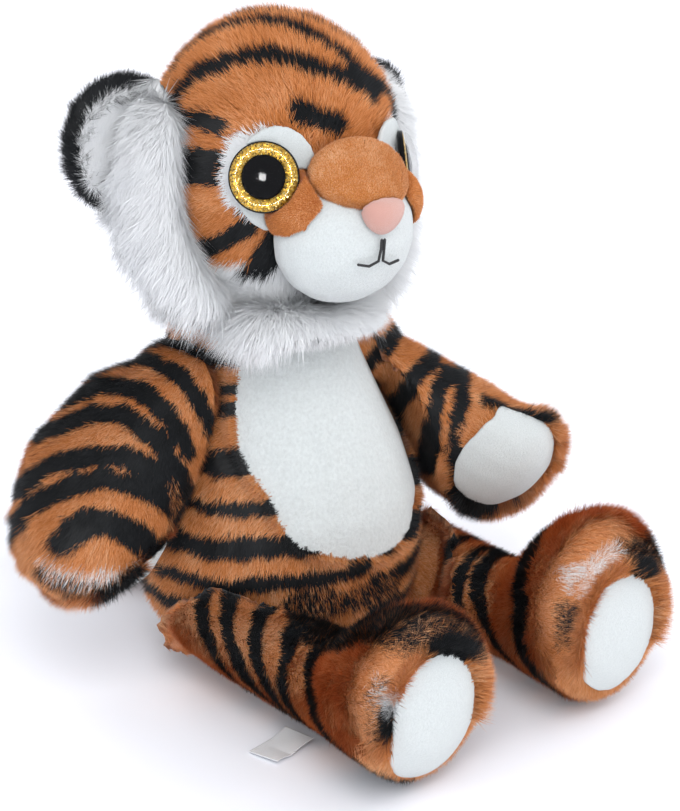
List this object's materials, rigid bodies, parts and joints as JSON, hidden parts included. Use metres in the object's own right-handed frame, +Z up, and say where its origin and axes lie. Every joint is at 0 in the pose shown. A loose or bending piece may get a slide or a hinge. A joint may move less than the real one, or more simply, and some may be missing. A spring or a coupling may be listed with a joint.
{
  "type": "plush tiger",
  "caption": "Seated plush tiger with striped pile, long white ruff, plastic glitter eyes and smooth white belly and pads; soft head, arms, legs and tail turn at their seams.",
  "frame": {"origin": "on the floor, under the middle of the body, on the flat underside of the body's skin", "axes": "+Z up; the tiger faces -Y; its own left is +X"},
  "size_m": [0.206, 0.2459, 0.2327],
  "materials": {
    "tiger_pile": "fluffy orange pile with black stripes",
    "black_pile": "fluffy black pile",
    "white_plush": "short smooth white plush",
    "white_long_pile": "long soft white pile",
    "orange_velboa": "short smooth orange plush",
    "nose_velour": "short pink velour",
    "black_thread": "thick black sewing thread",
    "white_thread": "white sewing thread",
    "black_plastic": "glossy black",
    "gold_glitter": "gold glitter",
    "clear_plastic": "clear and glossy",
    "white_plastic": "plain white",
    "polyester_filling": "white fibre filling",
    "label_satin": "plain white satin, blank"
  },
  "bodies": {
    "torso": {"body_skin": "tiger_pile", "body_filling": "polyester_filling", "belly_panel": "white_plush"},
    "head": {"head_skin": "tiger_pile", "head_filling": "polyester_filling", "muzzle": "white_plush", "muzzle_bridge": "orange_velboa", "muzzle_side_right": "orange_velboa", "muzzle_side_left": "orange_velboa", "nose": "nose_velour", "mouth_stitch_right": "black_thread", "mouth_stitch_left": "black_thread", "eye_back_right": "black_plastic", "eye_back_left": "black_plastic", "eye_glitter_right": "gold_glitter", "eye_glitter_left": "gold_glitter", "eye_pupil_right": "black_plastic", "eye_pupil_left": "black_plastic", "eye_dome_right": "clear_plastic", "eye_dome_left": "clear_plastic", "eye_washer_right": "white_plastic", "eye_washer_left": "white_plastic", "eye_patch_right": "white_plush", "eye_patch_left": "white_plush", "ear_back_right": "black_pile", "ear_back_left": "black_pile", "ear_lining_right": "white_long_pile", "ear_lining_left": "white_long_pile", "cheek_ruff_right": "white_long_pile", "cheek_ruff_left": "white_long_pile", "chin_ruff": "white_long_pile"},
    "arm_right": {"arm_skin_right": "tiger_pile", "arm_filling_right": "polyester_filling", "palm_pad_right": "white_plush"},
    "arm_left": {"arm_skin_left": "tiger_pile", "arm_filling_left": "polyester_filling", "palm_pad_left": "white_plush"},
    "leg_right": {"leg_skin_right": "tiger_pile", "leg_filling_right": "polyester_filling", "sole_pad_right": "white_plush", "sewn_label": "label_satin", "seam_thread": "white_thread"},
    "leg_left": {"leg_skin_left": "tiger_pile", "leg_filling_left": "polyester_filling", "sole_pad_left": "white_plush"},
    "tail": {"tail_skin": "tiger_pile", "tail_filling": "polyester_filling"}
  },
  "joints": [
    {"name": "neck_turn", "type": "hinge", "parent": "torso", "child": "head", "pos_m": [0, 0, 0.1287], "axis": [0, 0, 1], "range_deg": [-25, 25], "stiffness_Nm_per_rad": 0.05},
    {"name": "shoulder_right", "type": "hinge", "parent": "torso", "child": "arm_right", "pos_m": [-0.0348, -0.0042, 0.1076], "axis": [-0.9418, -0.1324, 0.309], "range_deg": [-18, 55], "stiffness_Nm_per_rad": 0.05},
    {"name": "shoulder_left", "type": "hinge", "parent": "torso", "child": "arm_left", "pos_m": [0.0348, -0.0042, 0.1076], "axis": [-0.9418, 0.1324, -0.309], "range_deg": [-50, 20], "stiffness_Nm_per_rad": 0.05},
    {"name": "hip_right", "type": "hinge", "parent": "torso", "child": "leg_right", "pos_m": [-0.0422, -0.0316, 0.0198], "axis": [0, 0, 1], "range_deg": [-18, 3], "stiffness_Nm_per_rad": 0.05},
    {"name": "hip_left", "type": "hinge", "parent": "torso", "child": "leg_left", "pos_m": [0.0422, -0.0316, 0.0198], "axis": [0, 0, 1], "range_deg": [-4, 7], "stiffness_Nm_per_rad": 0.05},
    {"name": "tail_turn", "type": "hinge", "parent": "torso", "child": "tail", "pos_m": [0, 0.0316, 0.0106], "axis": [0, 0, 1], "range_deg": [-25, 25], "stiffness_Nm_per_rad": 0.01}
  ]
}
